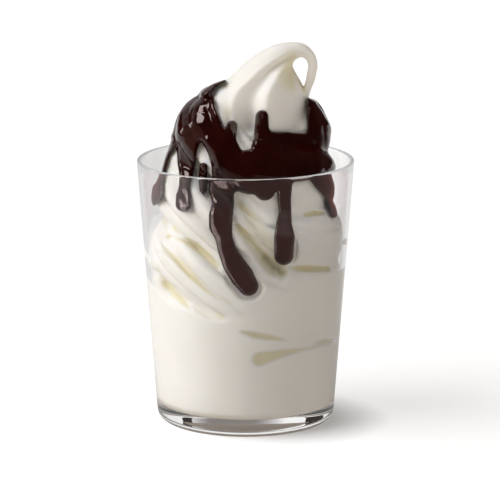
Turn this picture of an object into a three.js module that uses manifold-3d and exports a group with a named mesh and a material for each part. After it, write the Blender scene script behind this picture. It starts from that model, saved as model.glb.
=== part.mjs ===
// Ice cream sundae: soft-serve ice cream coiled into a clear tapered tumbler, under chocolate sauce.
// Millimetres, +Z up. The origin is the centre of the tumbler's base, -Y is the front and +X the right.
import * as THREE from 'three';
import { ParametricGeometry } from 'three/addons/geometries/ParametricGeometry.js';
import { mergeVertices } from 'three/addons/utils/BufferGeometryUtils.js';
import Module from 'manifold-3d';

// ---- Tumbler
const GLASS_HEIGHT = 105;
const RIM_RADIUS = 43;
const BASE_RADIUS = 35; // outer wall carried down to the table
const WALL_AT_BASE = 2.3;
const WALL_AT_RIM = 1.6;
const FLOOR = 7.2; // thickness of the glass bottom
const HEEL_RADIUS = 4.2; // rounded edge under the wall
const PUNT_RADIUS = 27.5; // hollow under the bottom
const PUNT_DEPTH = 1.3;
const CORNER_RADIUS = 3; // where the inner wall meets the floor
const FIT_GAP = 0.3; // clearance between neighbouring solids

// ---- Front plane. What is drawn by hand on the front lies on a plane that faces an eye in front of the sundae.
const EYE = [1.76, -1300, 355.3];
const EYE_PITCH = THREE.MathUtils.degToRad(12.46);
const PLANE_AWAY = 1324.4; // distance from the eye at which the plane shows true size
const PLANE_LIFT = 66.4;

// ---- Soft-serve rope. A turn of 0 is at the front, and turns climb clockwise seen from above.
const PITCH = 22.5;
const FIRST_HEIGHT = 53.4;
const STEEP_SHARE = 0.62; // share of a turn's climb made on its steep stretch
const STEEP_FROM = -0.09;
const STEEP_TO = 0.19;
const TOP_HEIGHT = 116.6;
const TOP_TURN = 2.25;
const TOP_FALL = 4.5; // the last coil sinks by this much a turn
const FIRST_TURN = -1.3;
const LAST_TURN = 2.69;
const LEAN = 2.3; // the heap leans to the right by this much
const LEAN_FROM = 55;
const LEAN_TO = 108;
const COIL_RADIUS = [[-1, 25.5], [0, 25.5], [0.5, 24.6], [1, 23.5], [1.25, 22.8], [1.75, 18.3],
  [2, 17.5], [2.25, 14.6], [2.69, 17]];
const ROPE_RADIUS = [[1, 14.5], [2.25, 14.3], [2.69, 13.6]];
const FLUTES = 8;
const FLUTE_TWIST = 1.12; // turns of the section for each turn of the coil
const FLUTE_START = THREE.MathUtils.degToRad(6);
const FLUTE_DEPTH = 2.5;
const SMOOTH_SIDE = -25; // degrees; the flutes fade on the side that was pressed
const SMOOTH_SPREAD = 55;
const SMOOTH_SHARE = 0.85;
const TURN_BLEND = 1.4; // how far one turn of the rope melts into the next

// ---- Body of the heap behind the coils
const HEAP_PROFILE = [[40, 36.5], [50, 37.5], [66, 37.6], [78, 36.8], [88, 35], [96, 33.4],
  [104, 31.6], [112, 30.3], [118, 27.8]];
const HEAP_TOP = 118;
const HEAP_INSET = 3.8; // how far the body stays inside the coils,
const PRESSED_INSET = 3; // less this on the right below the next levels, where the coils were pressed,
const PRESSED_UP_TO = [72, 84];
const TOP_INSET = 6; // and more by this above the levels below, under the last coil
const TOP_INSET_OVER = [100, 114];
const HEAP_BLEND = 1.5;
// Level to which the glass is packed full: degrees round the axis, and the height.
const FILL_LEVEL = [[-180, 59], [-158, 56], [-130, 48], [-110, 47], [-85, 49], [-60, 50], [-30, 50], [0, 52],
  [50, 56], [100, 58], [140, 60]];
const FILL_BLEND = 4;
const BULGE = { centre: [-20.5, -1.5, 103], radius: 10.8 }; // soft serve pushed out between two coils
const BULGE_BLEND = 4;
// A short rope along the wall: degrees and height of its ends, distance from the axis, radius.
const FOLD = { from: [-59, 62.2], to: [24, 58], out: 33.4, radius: 5.4 };
const FOLD_BLEND = 0.8;
// The hollow on the front between the coil and the fold: across, up and half width on the front plane.
const HOLLOW = [[-3.8, 74.3, 1], [1.8, 68.4, 2.2], [7.3, 62.5, 3.2], [11.6, 58.5, 3.4], [14, 56.1, 2.4]];
const HOLLOW_STEEPNESS = 1.7;
const HOLLOW_ROUNDING = 0.8;
const FRONT_FROM = -6; // what is drawn on the front plane fades out between these depths
const FRONT_TO = -12;

// ---- Peak, a fluted horn that bends round the hole under its curl
const HOLE_X = 22;
const HOLE_Z = 140.5;
// The peak's section: degrees from its front crest, and the radius as a share of its largest.
const PEAK_SECTION = [[-180, 0.84], [-140, 0.86], [-110, 0.95], [-75, 1], [-50, 1.01], [-41, 0.97], [-34, 0.88],
  [-27, 0.78], [-21, 0.75], [-14, 0.8], [-6, 0.94], [0, 1], [8, 0.965], [22, 0.87], [40, 0.8], [62, 0.84],
  [82, 0.97], [92, 1], [135, 0.94]];
const PEAK_FLUTES_FROM = 1.5; // the section turns round where its radius falls from one to the other
const PEAK_FLUTES_TO = 7;
// Each row: where it lies, how far its centre is from the hole, its radius, and its crest in degrees.
const STEM = [[100, 14.6, 15.5, -88], [112, 14.8, 16.5, -88], [122, 14.8, 17.2, -87], [129, 15.4, 17.6, -86],
  [134, 15.3, 16, -82], [138, 14.7, 13.5, -72], [140.5, 14, 11.7, -65]];
const CURL = [[0, 14, 11.7, -65], [14, 11.8, 9.2, -58], [28, 10.2, 7.4, -53], [45, 9.1, 5.8, -49],
  [67, 8.2, 4.1, -46], [92, 7.7, 3, -45], [116, 6.5, 2.4, -45], [146, 5.1, 2.1, -45], [180, 4.2, 1.9, -45]];
const TAIL = [[122, 0.6, 1.2, -45], [128.5, 1.2, 1.4, -45], [132.5, 2.1, 1.6, -45], [136.5, 3.5, 1.8, -45],
  [140.5, 4.2, 1.9, -45]];
const CURL_FROM = 128; // the stem is faceted with the curl from this level up
const STEM_TOP = 137; // inside the curl's own facets
const STEM_FILLET = 1.6; // rounds the corner where the stem stands on the coils

// ---- Sauce
const SAUCE_THICKNESS = 2;
const SAUCE_EDGE = 3.4; // the sauce thins out from this far inside its outline,
const SAUCE_FALL = 0.15; // by this share of the square of the way outwards
const FLUTES_SHOWN = 0.3; // the sauce fills the flutes that it covers down to this share of their depth
const SAUCE_FILLET = 7; // and it rounds the corner at the foot of the peak by this much
const UNDER_SAUCE_GAP = 2.7; // the ice cream stays this far off the glass under the sauce on the front
const SAUCE_CENTRE_X = 2;
const DOME_HEIGHT = 100; // above this level the way up the heap's side follows a dome
const DOME_RADIUS = 31;
const BACK_FROM = 7; // the front outline gives way to the back one between these depths
const BACK_TO = 15;
const STREAM_BLEND = 1.2; // how far one stream melts into the next
const DRIP_BLEND = 1.5;
const UNROLL_RADIUS = 34;
// Streams on the front: rows of across, up and half width on the front plane.
const STREAMS = [
  [[-8.3, 133.2, 0.5], [-12.5, 131.6, 1.2], [-15.6, 129.4, 2.4], [-16.8, 124.1, 5.1], [-17.8, 118.5, 8.9]],
  [[-21.7, 124.1, 4.7], [-26, 118.5, 5.4], [-26.8, 113.8, 4.7]],
  [[-24.3, 113.8, 4.7], [-28.1, 108.7, 2], [-30.6, 103.9, 1.5], [-32.2, 99.2, 1.5], [-33, 95.2, 1.5]],
  [[-32.8, 94, 1], [-34.8, 90.1, 3], [-36, 86.5, 2.4], [-36.4, 83.8, 0.6]],
  [[-22.3, 112.2, 5.1], [-23.1, 105.9, 4.1], [-23.3, 100.8, 3.7], [-23.5, 96, 2.8], [-23.9, 91.3, 2.3],
    [-24.2, 87.7, 3], [-24.2, 84.8, 3.1]],
  [[-16.6, 99.2, 1.7], [-17, 94.8, 1.8], [-16.6, 90.5, 1.5], [-16.5, 88.9, 0.6]],
  [[-16.2, 93.7, 0.7], [-12.9, 92.9, 0.9]],
  [[-14.8, 115.4, 5.1], [-9.3, 106.3, 5.9], [-7.3, 100.4, 6.2], [-6.5, 95.2, 6.3]],
  [[-5.3, 115.4, 2.2], [-6.1, 111.8, 2.6], [-6.9, 108.3, 4]],
  [[6.5, 119.1, 2.8], [6.4, 115.4, 3.2], [6.5, 110.6, 3.8]],
  [[-6.5, 97.2, 6.7], [1.8, 96.8, 9.3], [6.5, 97.6, 10.5], [15.6, 102.7, 10.5], [22.3, 102.7, 9.8],
    [27.8, 102, 5.9]],
  [[8.9, 111.4, 2.4], [15.2, 107.5, 5.7]],
  [[7.5, 94, 4.7], [7.5, 90.1, 4.1]],
  [[24.9, 126, 0.6], [26.4, 123.3, 2.4], [27.6, 119.7, 3.6], [28.4, 115, 4.1], [28.4, 109.1, 5.1]],
  [[30.2, 118.5, 1.8], [32.6, 113.8, 3.1], [33.4, 107.9, 3.5], [32.6, 100, 3.9]],
  [[-9.5, 90.1, 4.9], [-9.5, 85.4, 4.9], [-9.4, 80.2, 4.4], [-9, 75.1, 4.1], [-8, 70.3, 4], [-6.3, 65.6, 4.3],
    [-3.6, 60.9, 4.7], [-0.8, 56.5, 4.5], [1.1, 52.7, 4]],
  [[15.4, 92.9, 3], [14.9, 86.2, 2.9], [14.8, 81, 3.2], [15, 74.3, 3.7], [15, 68.4, 4], [15, 64.3, 4]],
  [[28.6, 97.2, 5.3], [32.2, 90.5, 3.3], [33.5, 87.3, 2.5], [34.3, 83.8, 2.1], [34.5, 80.9, 1.7]],
];
// The sauce lies thicker along the spike at its upper left: across, up and reach on the front plane.
const SPIKE = [[-6.5, 133.4, 1.8], [-12.5, 131.3, 2.6], [-16.5, 128.6, 2.8]];
const SPIKE_HEIGHT = 1.5;
// The outline behind: degrees round the heap, and the way up its side.
const SAUCE_LOW = [[-180, 103], [-170, 106], [-60, 101], [-30, 98], [-8, 97], [10, 101], [35, 99], [60, 103],
  [90, 100], [115, 104], [140, 101], [160, 105]];
const SAUCE_HIGH = [[-180, 133], [-165, 134], [-60, 121], [-20, 122], [-10, 127], [10, 127], [40, 124], [80, 126],
  [130, 130], [165, 133]];
// Each drip behind is a chain of rows: degrees, way up the side, half width.
const DRIPS = [
  [[18, 101, 3.4], [20, 90, 2.8], [19, 80, 3.4]],
  [[50, 101, 4], [48, 94, 2.8], [49, 88, 3.2]],
  [[76, 102, 3.4], [78, 90, 2.8], [80, 79, 3], [82, 70, 3.8]],
  [[104, 102, 3.4], [103, 94, 2.6], [102, 88, 3]],
  [[130, 102, 4], [128, 92, 3.2], [131, 82, 3.4], [130, 74, 4]],
  [[158, 105, 3], [156, 97, 2.6], [157, 92, 3]],
];

// ---- Fineness of the faceted surfaces
const COLUMNS = 64;
const FRONT_CROWDING = 0.35; // the contents' columns stand closer at the front and wider behind
const GLASS_COLUMNS = 52;
const CURL_SIDES = [-165, -135, -105, -75, -50, -41, -30, -21, -12, 0, 18, 40, 64, 90, 125, 160]; // from the crest

// ---- Small helpers for distance fields: a field is negative inside its solid.
const clamp = THREE.MathUtils.clamp;
const TAU = 2 * Math.PI;

function ramp(value, from, to) {
  const share = clamp((value - from) / (to - from), 0, 1);
  return share * share * (3 - 2 * share);
}

function softMin(a, b, blend) {
  const share = clamp(0.5 + (0.5 * (b - a)) / blend, 0, 1);
  return b + (a - b) * share - blend * share * (1 - share);
}

function roundedMax(a, b, radius) {
  const outside = Math.hypot(Math.max(a + radius, 0), Math.max(b + radius, 0));
  return outside - radius + Math.min(Math.max(a + radius, b + radius), 0);
}

// Straight lines between the rows of a table, from its first column to another.
function lookUp(table, value, column = 1) {
  const last = table.length - 1;
  if (value <= table[0][0]) return table[0][column];
  if (value >= table[last][0]) return table[last][column];
  const next = table.findIndex((row) => row[0] > value);
  const share = (value - table[next - 1][0]) / (table[next][0] - table[next - 1][0]);
  return THREE.MathUtils.lerp(table[next - 1][column], table[next][column], share);
}

function lookUpAngle(table, degrees) {
  const closed = [...table, [table[0][0] + 360, table[0][1]]];
  return lookUp(closed, THREE.MathUtils.euclideanModulo(degrees - table[0][0], 360) + table[0][0]);
}

// ---- Tumbler shape
function outerWall(z) {
  return BASE_RADIUS + ((RIM_RADIUS - BASE_RADIUS) * z) / GLASS_HEIGHT;
}

function innerWall(z) {
  return outerWall(z) - THREE.MathUtils.lerp(WALL_AT_BASE, WALL_AT_RIM, clamp(z / GLASS_HEIGHT, 0, 1));
}

// The space inside the tumbler, with its rounded corner.
function cavity(x, y, z) {
  return roundedMax(Math.hypot(x, y) - innerWall(z), FLOOR - z, CORNER_RADIUS);
}

// ---- Front plane
// Where a point shows on the plane that faces the eye: across and up.
function frontPlane(x, y, z) {
  const along = y - EYE[1];
  const rise = z - EYE[2];
  const scale = PLANE_AWAY / (along * Math.cos(EYE_PITCH) - rise * Math.sin(EYE_PITCH));
  const up = along * Math.sin(EYE_PITCH) + rise * Math.cos(EYE_PITCH);
  return [EYE[0] + (x - EYE[0]) * scale, PLANE_LIFT + up * scale];
}

// Distance on a plane to a stroke: a chain of rows that each give a place and a half width.
function strokeDistance(stroke, across, up) {
  let distance = 1000;
  for (let row = 1; row < stroke.length; row += 1) {
    const [fromAcross, fromUp, fromWidth] = stroke[row - 1];
    const [toAcross, toUp, toWidth] = stroke[row];
    const runAcross = toAcross - fromAcross;
    const runUp = toUp - fromUp;
    const past = (across - fromAcross) * runAcross + (up - fromUp) * runUp;
    const share = clamp(past / (runAcross ** 2 + runUp ** 2), 0, 1);
    const away = Math.hypot(across - fromAcross - runAcross * share, up - fromUp - runUp * share);
    distance = Math.min(distance, away - THREE.MathUtils.lerp(fromWidth, toWidth, share));
  }
  return distance;
}

function onFront(y) {
  return 1 - ramp(y, FRONT_TO, FRONT_FROM);
}

// ---- Rope of soft-serve
function climb(turn) {
  const whole = Math.floor(turn - STEEP_FROM);
  const steep = ramp(turn - STEEP_FROM - whole, 0, STEEP_TO - STEEP_FROM);
  return PITCH * ((1 - STEEP_SHARE) * turn + STEEP_SHARE * (whole + steep));
}

function coilHeight(turn) {
  return softMin(FIRST_HEIGHT + climb(turn), TOP_HEIGHT - TOP_FALL * (turn - TOP_TURN), 1.5);
}

function lean(z) {
  return LEAN * ramp(z, LEAN_FROM, LEAN_TO);
}

function fluteDepth(angle, sectionAngle) {
  const softness = 0.008;
  const wave = Math.cos((FLUTES * sectionAngle) / 2);
  const low = Math.sqrt(softness);
  const valley = 1 - (Math.sqrt(wave * wave + softness) - low) / (Math.sqrt(1 + softness) - low);
  const fromSmooth = THREE.MathUtils.euclideanModulo(THREE.MathUtils.radToDeg(angle) - SMOOTH_SIDE + 180, 360) - 180;
  return FLUTE_DEPTH * valley * (1 - SMOOTH_SHARE * Math.exp(-((fromSmooth / SMOOTH_SPREAD) ** 2)));
}

function rope(x, y, z, flutesShown) {
  const across = x - lean(z);
  const radius = Math.hypot(across, y);
  const angle = Math.atan2(y, across);
  let distance = 1000;
  for (let whole = -1; whole <= 3; whole += 1) {
    const turn = (-Math.PI / 2 - angle) / TAU + whole;
    const held = clamp(turn, FIRST_TURN, LAST_TURN);
    const coil = lookUp(COIL_RADIUS, held);
    const out = radius - coil;
    const up = z - coilHeight(held);
    const past = (turn - held) * TAU * coil;
    const sectionAngle = Math.atan2(up, out) - FLUTE_TWIST * TAU * turn + FLUTE_START;
    const skin = lookUp(ROPE_RADIUS, held) - fluteDepth(angle, sectionAngle) * flutesShown;
    distance = softMin(distance, Math.hypot(out, up, past) - skin, TURN_BLEND);
  }
  return distance;
}

function heap(x, y, z) {
  const across = x - lean(z);
  const onRight = 0.5 + 0.5 * Math.cos(Math.atan2(y, across) + 0.3);
  const pressed = onRight * (1 - ramp(z, ...PRESSED_UP_TO));
  const inset = HEAP_INSET - PRESSED_INSET * pressed + TOP_INSET * ramp(z, ...TOP_INSET_OVER);
  const side = (Math.hypot(across, y) - lookUp(HEAP_PROFILE, z)) * 0.8 + inset;
  return Math.max(side, z - HEAP_TOP);
}

function fill(x, y, z) {
  return z - lookUpAngle(FILL_LEVEL, THREE.MathUtils.radToDeg(Math.atan2(y, x)));
}

function bulge(x, y, z) {
  const [fromX, fromY, fromZ] = BULGE.centre;
  return Math.hypot(x - fromX, y - fromY, z - fromZ) - BULGE.radius;
}

function fold(x, y, z) {
  const [fromDegrees, fromHeight] = FOLD.from;
  const run = FOLD.to[0] - fromDegrees;
  const degrees = THREE.MathUtils.radToDeg(Math.atan2(y, x));
  const turned = THREE.MathUtils.euclideanModulo(degrees - fromDegrees + 90, 360) - 90;
  const share = clamp(turned / run, 0, 1);
  const past = THREE.MathUtils.degToRad(turned - share * run) * FOLD.out;
  const height = THREE.MathUtils.lerp(fromHeight, FOLD.to[1], share);
  return Math.hypot(Math.hypot(x, y) - FOLD.out, z - height, past) - FOLD.radius;
}

// How deep the hollow on the front cuts in.
function hollow(x, y, z) {
  const inside = Math.max(1 - strokeDistance(HOLLOW, ...frontPlane(x, y, z)), 0);
  return (HOLLOW_STEEPNESS * onFront(y) * inside ** 2) / (inside + HOLLOW_ROUNDING);
}

// ---- Peak
function peakRadius(radius, degrees, crest) {
  const flute = lookUpAngle(PEAK_SECTION, degrees - crest);
  return radius * (1 + (flute - 1) * ramp(radius, PEAK_FLUTES_FROM, PEAK_FLUTES_TO));
}

function stem(x, y, z) {
  const inward = lookUp(STEM, z, 1) - (HOLE_X - x);
  const degrees = THREE.MathUtils.radToDeg(Math.atan2(y, inward));
  const side = Math.hypot(inward, y) - peakRadius(lookUp(STEM, z, 2), degrees, lookUp(STEM, z, 3));
  return roundedMax(side * 0.8, z - STEM_TOP, 2);
}

function iceBody(x, y, z, flutesShown = 1, fillet = STEM_FILLET) {
  const coils = softMin(rope(x, y, z, flutesShown), heap(x, y, z), HEAP_BLEND);
  const bulged = softMin(coils, bulge(x, y, z), BULGE_BLEND);
  const folded = softMin(bulged, fold(x, y, z), FOLD_BLEND);
  const packed = softMin(folded, fill(x, y, z), FILL_BLEND) + hollow(x, y, z) * flutesShown;
  return softMin(packed, stem(x, y, z), fillet);
}

// ---- Front outline of the sauce, and the room that the ice cream leaves for it
function frontOutline(across, up) {
  const join = (outline, stream) => softMin(outline, strokeDistance(stream, across, up), STREAM_BLEND);
  return STREAMS.reduce(join, 1000);
}

function iceCream(x, y, z) {
  const outline = frontOutline(...frontPlane(x, y, z));
  const wallGap = UNDER_SAUCE_GAP * (1 - ramp(outline, 0.5, 4)) * onFront(y);
  return Math.max(iceBody(x, y, z), cavity(x, y, z) + FIT_GAP + wallGap);
}

// ---- Sauce
function backOutline(x, y, z) {
  const radius = Math.hypot(x - SAUCE_CENTRE_X, y);
  const degrees = THREE.MathUtils.radToDeg(Math.atan2(y, x - SAUCE_CENTRE_X));
  const dome = DOME_HEIGHT + DOME_RADIUS * Math.atan2(z - DOME_HEIGHT, radius);
  const way = z < DOME_HEIGHT ? z : dome;
  const band = Math.max(lookUpAngle(SAUCE_LOW, degrees) - way, way - lookUpAngle(SAUCE_HIGH, degrees)) * 0.85;
  const unroll = (angle) => THREE.MathUtils.degToRad(angle) * UNROLL_RADIUS;
  return DRIPS.reduce((outline, drip) => {
    const middle = drip[0][0];
    const turned = THREE.MathUtils.euclideanModulo(degrees - middle + 180, 360) - 180;
    const unrolled = drip.map(([at, atWay, width]) => [unroll(at - middle), atWay, width]);
    return softMin(outline, strokeDistance(unrolled, unroll(turned), way), DRIP_BLEND);
  }, band);
}

function sauce(x, y, z) {
  const [across, up] = frontPlane(x, y, z);
  const behind = ramp(y, BACK_FROM, BACK_TO);
  const front = frontOutline(across, up);
  const outline = behind > 0 ? THREE.MathUtils.lerp(front, backOutline(x, y, z), behind) : front;
  const raised = SPIKE_HEIGHT * (1 - ramp(strokeDistance(SPIKE, across, up), -2.2, 0.4)) * (1 - behind);
  const thickness = SAUCE_THICKNESS + raised - SAUCE_FALL * Math.max(outline + SAUCE_EDGE, 0) ** 2;
  return Math.max(iceBody(x, y, z, FLUTES_SHOWN, SAUCE_FILLET) - thickness, cavity(x, y, z) + FIT_GAP);
}

// ---- Surfaces by rays. Rays leave the axis in stages: the level they start at, their rise in degrees, rows.
const RAY_STAGES = [[20, -90, 0], [20, -21, 1], [20, -12.5, 3], [44, 0, 1], [88, 0, 19], [126, 90, 26]];
const RAY_LEAN = 6; // the last rays start this far to the right, under the peak
const RAY_STEP = 0.6;
const RAY_REACH = 75;

function rayAt(row) {
  let stage = 1;
  let before = 0;
  while (row > before + RAY_STAGES[stage][2]) {
    before += RAY_STAGES[stage][2];
    stage += 1;
  }
  const share = (row - before) / RAY_STAGES[stage][2];
  const [fromLevel, fromRise] = RAY_STAGES[stage - 1];
  const [toLevel, toRise] = RAY_STAGES[stage];
  const level = THREE.MathUtils.lerp(fromLevel, toLevel, share);
  const rise = THREE.MathUtils.degToRad(THREE.MathUtils.lerp(fromRise, toRise, share));
  return { level, rise, start: RAY_LEAN * ramp(level, 60, 126) };
}

// The distance at which a ray first leaves the solid.
function leaving(field, origin, direction) {
  const outside = (reach) => {
    const [x, y, z] = origin.map((value, axis) => value + direction[axis] * reach);
    return field(x, y, z) > 0;
  };
  let reach = RAY_STEP;
  while (reach < RAY_REACH && !outside(reach)) reach += RAY_STEP;
  let low = reach - RAY_STEP;
  let high = reach;
  for (let halving = 0; halving < 12; halving += 1) {
    const middle = (low + high) / 2;
    if (outside(middle)) high = middle;
    else low = middle;
  }
  return low;
}

const ROWS = RAY_STAGES.reduce((total, stage) => total + stage[2], 0);

function raySurface(field) {
  return new ParametricGeometry((u, v, target) => {
    const { level, rise, start } = rayAt(Math.round(v * ROWS));
    const even = TAU * (Math.round(u * COLUMNS) % COLUMNS) / COLUMNS;
    const angle = even - FRONT_CROWDING * Math.cos(even);
    const flat = Math.abs(Math.cos(rise)) < 1e-9 ? 0 : Math.cos(rise); // straight up or down is one point
    const direction = [flat * Math.cos(angle), flat * Math.sin(angle), Math.sin(rise)];
    const reach = leaving(field, [start, 0, level], direction);
    target.set(start + direction[0] * reach, direction[1] * reach, level + direction[2] * reach);
  }, COLUMNS, ROWS);
}

// ---- Closed meshes and solids
const manifold = await Module();
manifold.setup();

function closed(geometry) {
  geometry.deleteAttribute('normal');
  geometry.deleteAttribute('uv');
  const merged = mergeVertices(geometry, 1e-4);
  const index = merged.index.array;
  const kept = [];
  for (let corner = 0; corner < index.length; corner += 3) {
    const [a, b, c] = index.slice(corner, corner + 3);
    if (a !== b && b !== c && c !== a) kept.push(a, b, c);
  }
  merged.setIndex(kept);
  return merged;
}

function toSolid(geometry) {
  const merged = closed(geometry);
  return new manifold.Manifold(new manifold.Mesh({
    numProp: 3,
    vertProperties: new Float32Array(merged.attributes.position.array),
    triVerts: new Uint32Array(merged.index.array),
  }));
}

function toGeometry(solid) {
  const mesh = solid.getMesh();
  const geometry = new THREE.BufferGeometry();
  geometry.setAttribute('position', new THREE.BufferAttribute(new Float32Array(mesh.vertProperties), 3));
  geometry.setIndex(Array.from(mesh.triVerts));
  geometry.computeVertexNormals();
  return geometry;
}

function largestPiece(solid) {
  const pieces = solid.decompose();
  return pieces.reduce((best, piece) => (piece.volume() > best.volume() ? piece : best));
}

// ---- Tumbler
function arcPoints(x, y, radius, fromDegrees, toDegrees, steps) {
  return Array.from({ length: steps + 1 }, (_, step) => {
    const angle = THREE.MathUtils.degToRad(THREE.MathUtils.lerp(fromDegrees, toDegrees, step / steps));
    return new THREE.Vector2(x + radius * Math.cos(angle), y + radius * Math.sin(angle));
  });
}

function tumbler() {
  const lip = WALL_AT_RIM / 2;
  const heelCentre = outerWall(HEEL_RADIUS) - HEEL_RADIUS;
  const cornerLevel = FLOOR + CORNER_RADIUS;
  const profile = [
    new THREE.Vector2(0, PUNT_DEPTH),
    new THREE.Vector2(PUNT_RADIUS * 0.6, PUNT_DEPTH * 0.85),
    new THREE.Vector2(PUNT_RADIUS, 0),
    ...arcPoints(heelCentre, HEEL_RADIUS, HEEL_RADIUS, -90, 0, 4),
    ...arcPoints(outerWall(GLASS_HEIGHT - lip) - lip, GLASS_HEIGHT - lip, lip, 0, 180, 4),
    ...arcPoints(innerWall(cornerLevel) - CORNER_RADIUS, cornerLevel, CORNER_RADIUS, 0, -90, 4),
    new THREE.Vector2(0, FLOOR),
  ];
  const turned = new THREE.LatheGeometry(profile, GLASS_COLUMNS);
  turned.rotateX(Math.PI / 2);
  return toGeometry(toSolid(turned));
}

// ---- Curl and tail of the peak
function curlPoint(station, radius, side) {
  const degrees = station.crest + CURL_SIDES[side % CURL_SIDES.length];
  const reach = peakRadius(radius, degrees, station.crest);
  const inward = reach * Math.cos(THREE.MathUtils.degToRad(degrees));
  const across = reach * Math.sin(THREE.MathUtils.degToRad(degrees));
  return [station.centre[0] - station.outward[0] * inward, across, station.centre[1] - station.outward[1] * inward];
}

function tube(stations, grown) {
  const last = stations.length - 1;
  const sides = CURL_SIDES.length;
  return new ParametricGeometry((u, v, target) => {
    const station = stations[clamp(Math.round(v * (last + 2)) - 1, 0, last)];
    const radius = v === 0 || v === 1 ? 0 : station.radius + grown;
    target.set(...curlPoint(station, radius, Math.round(u * sides)));
  }, sides, last + 2);
}

function curlStation([degrees, distance, radius, crest]) {
  const angle = THREE.MathUtils.degToRad(degrees);
  const outward = [-Math.cos(angle), Math.sin(angle)];
  return { centre: [HOLE_X + outward[0] * distance, HOLE_Z + outward[1] * distance], outward, radius, crest };
}

function curl(grown = 0) {
  const foot = [CURL_FROM, ...[1, 2, 3].map((column) => lookUp(STEM, CURL_FROM, column))];
  const stemTop = [foot, ...STEM.filter((row) => row[0] > CURL_FROM && row[0] < HOLE_Z)];
  const upright = stemTop.map(([z, distance, radius, crest]) => (
    { centre: [HOLE_X - distance, z], outward: [-1, 0], radius, crest }));
  return tube([...upright, ...CURL.map(curlStation)], grown);
}

function tail(grown = 0) {
  const rows = [...TAIL].reverse().map(([z, distance, radius, crest]) => (
    { centre: [HOLE_X + distance, z], outward: [1, 0], radius, crest }));
  const [, , radius, crest] = CURL.at(-1);
  const overlap = curlStation([150, CURL.at(-2)[1], radius, crest]);
  return tube([overlap, ...rows], grown);
}

// ---- Assembly
function node(name, geometry, material) {
  const mesh = new THREE.Mesh(geometry, material);
  mesh.name = name;
  return mesh;
}

const glassMaterial = new THREE.MeshStandardMaterial({
  color: 0xf2f5f5, roughness: 0.03, metalness: 0, transparent: true, opacity: 0.35,
});
const creamMaterial = new THREE.MeshStandardMaterial({ color: 0xf6f1e3, roughness: 0.55, metalness: 0 });
const sauceMaterial = new THREE.MeshStandardMaterial({ color: 0x2e0d0a, roughness: 0.12, metalness: 0 });

const heapSolid = toSolid(raySurface(iceCream));
const creamSolid = largestPiece(heapSolid.add(toSolid(curl())).add(toSolid(tail())));

// The sauce is what its outer skin holds beyond the ice cream and a small clearance.
const UNCOVERED_INSET = 1.5; // where there is no sauce, its skin runs this deep inside the ice cream
const sauceSkin = (x, y, z) => Math.min(sauce(x, y, z), iceCream(x, y, z) + UNCOVERED_INSET);
const clearance = (x, y, z) => iceCream(x, y, z) - FIT_GAP;
const curlRoom = FIT_GAP * 1.4; // grows the curl by the clearance even in its flutes
const beyondHeap = toSolid(raySurface(sauceSkin)).subtract(toSolid(raySurface(clearance)));
const sauceSolid = largestPiece(beyondHeap.subtract(toSolid(curl(curlRoom))).subtract(toSolid(tail(curlRoom))));

const group = new THREE.Group();
group.add(node('glass', tumbler(), glassMaterial));
group.add(node('ice_cream', toGeometry(creamSolid), creamMaterial));
group.add(node('chocolate_sauce', toGeometry(sauceSolid), sauceMaterial));

export default group;
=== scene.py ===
"""Ice cream sundae: soft serve coiled into a clear tapered tumbler, under poured chocolate sauce.

Shapes are worked out in millimetres in the part's frame, +Z up and -Y the front, and are written in metres.
A shape is a field: a function of x, y and z that is negative inside the solid.
"""
import math

import bpy
import numpy as np
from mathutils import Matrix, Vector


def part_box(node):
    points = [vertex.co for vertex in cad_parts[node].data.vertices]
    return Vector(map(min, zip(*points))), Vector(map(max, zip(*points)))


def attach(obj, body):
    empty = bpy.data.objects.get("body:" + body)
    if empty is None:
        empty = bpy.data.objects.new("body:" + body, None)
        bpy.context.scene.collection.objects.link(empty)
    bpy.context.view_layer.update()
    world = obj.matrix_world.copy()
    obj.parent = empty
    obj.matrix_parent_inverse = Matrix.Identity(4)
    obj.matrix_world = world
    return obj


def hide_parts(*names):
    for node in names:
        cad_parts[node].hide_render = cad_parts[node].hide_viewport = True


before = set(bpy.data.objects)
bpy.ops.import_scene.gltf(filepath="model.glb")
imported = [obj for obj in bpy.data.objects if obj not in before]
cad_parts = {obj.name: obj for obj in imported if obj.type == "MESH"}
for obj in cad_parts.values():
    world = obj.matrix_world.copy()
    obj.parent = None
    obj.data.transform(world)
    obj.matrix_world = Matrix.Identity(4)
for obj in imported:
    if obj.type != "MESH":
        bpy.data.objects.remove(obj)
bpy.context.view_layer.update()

MM = 0.001
TAU = 2 * math.pi
FAR = 1000.0  # no distance yet

# ---- Tumbler, sized by its CAD node
glass_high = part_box("glass")[1]
GLASS_HEIGHT = glass_high.z / MM
WALL_AT_RIM = 1.6
WALL_AT_BASE = 2.3
LIP = WALL_AT_RIM / 2
WIDEST = glass_high.x / MM  # at the middle of the lip
BASE_RADIUS = 35.0  # outer wall carried down to the table
FLOOR = 7.2  # thickness of the glass bottom
HEEL_RADIUS = 4.2
PUNT_RADIUS = 27.5
PUNT_DEPTH = 1.3
CORNER_RADIUS = 3.0
GLASS_SIDES = 192
ARC_STEPS = 10
WALL_STEPS = 24
BOTTOM_STEPS = 8
WALL_SINK = 0.15  # how far the contents reach into the glass, so that no air gap shows

# ---- Front plane
# What is drawn on the front lies on a plane that faces an eye, in mm across and up.
EYE = (1.76, -1300, 355.3)
EYE_PITCH = math.radians(12.46)
LENS = 241.4  # of the camera, which stands at the eye
SENSOR_WIDTH = 36.0
PLANE_AWAY = 1324.4  # the plane's distance from the eye
PLANE_LIFT = 66.4  # the height up the plane that the eye looks at
FRONT_ENDS = (-12, -6)  # creases and gaps fade out between these depths

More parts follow.
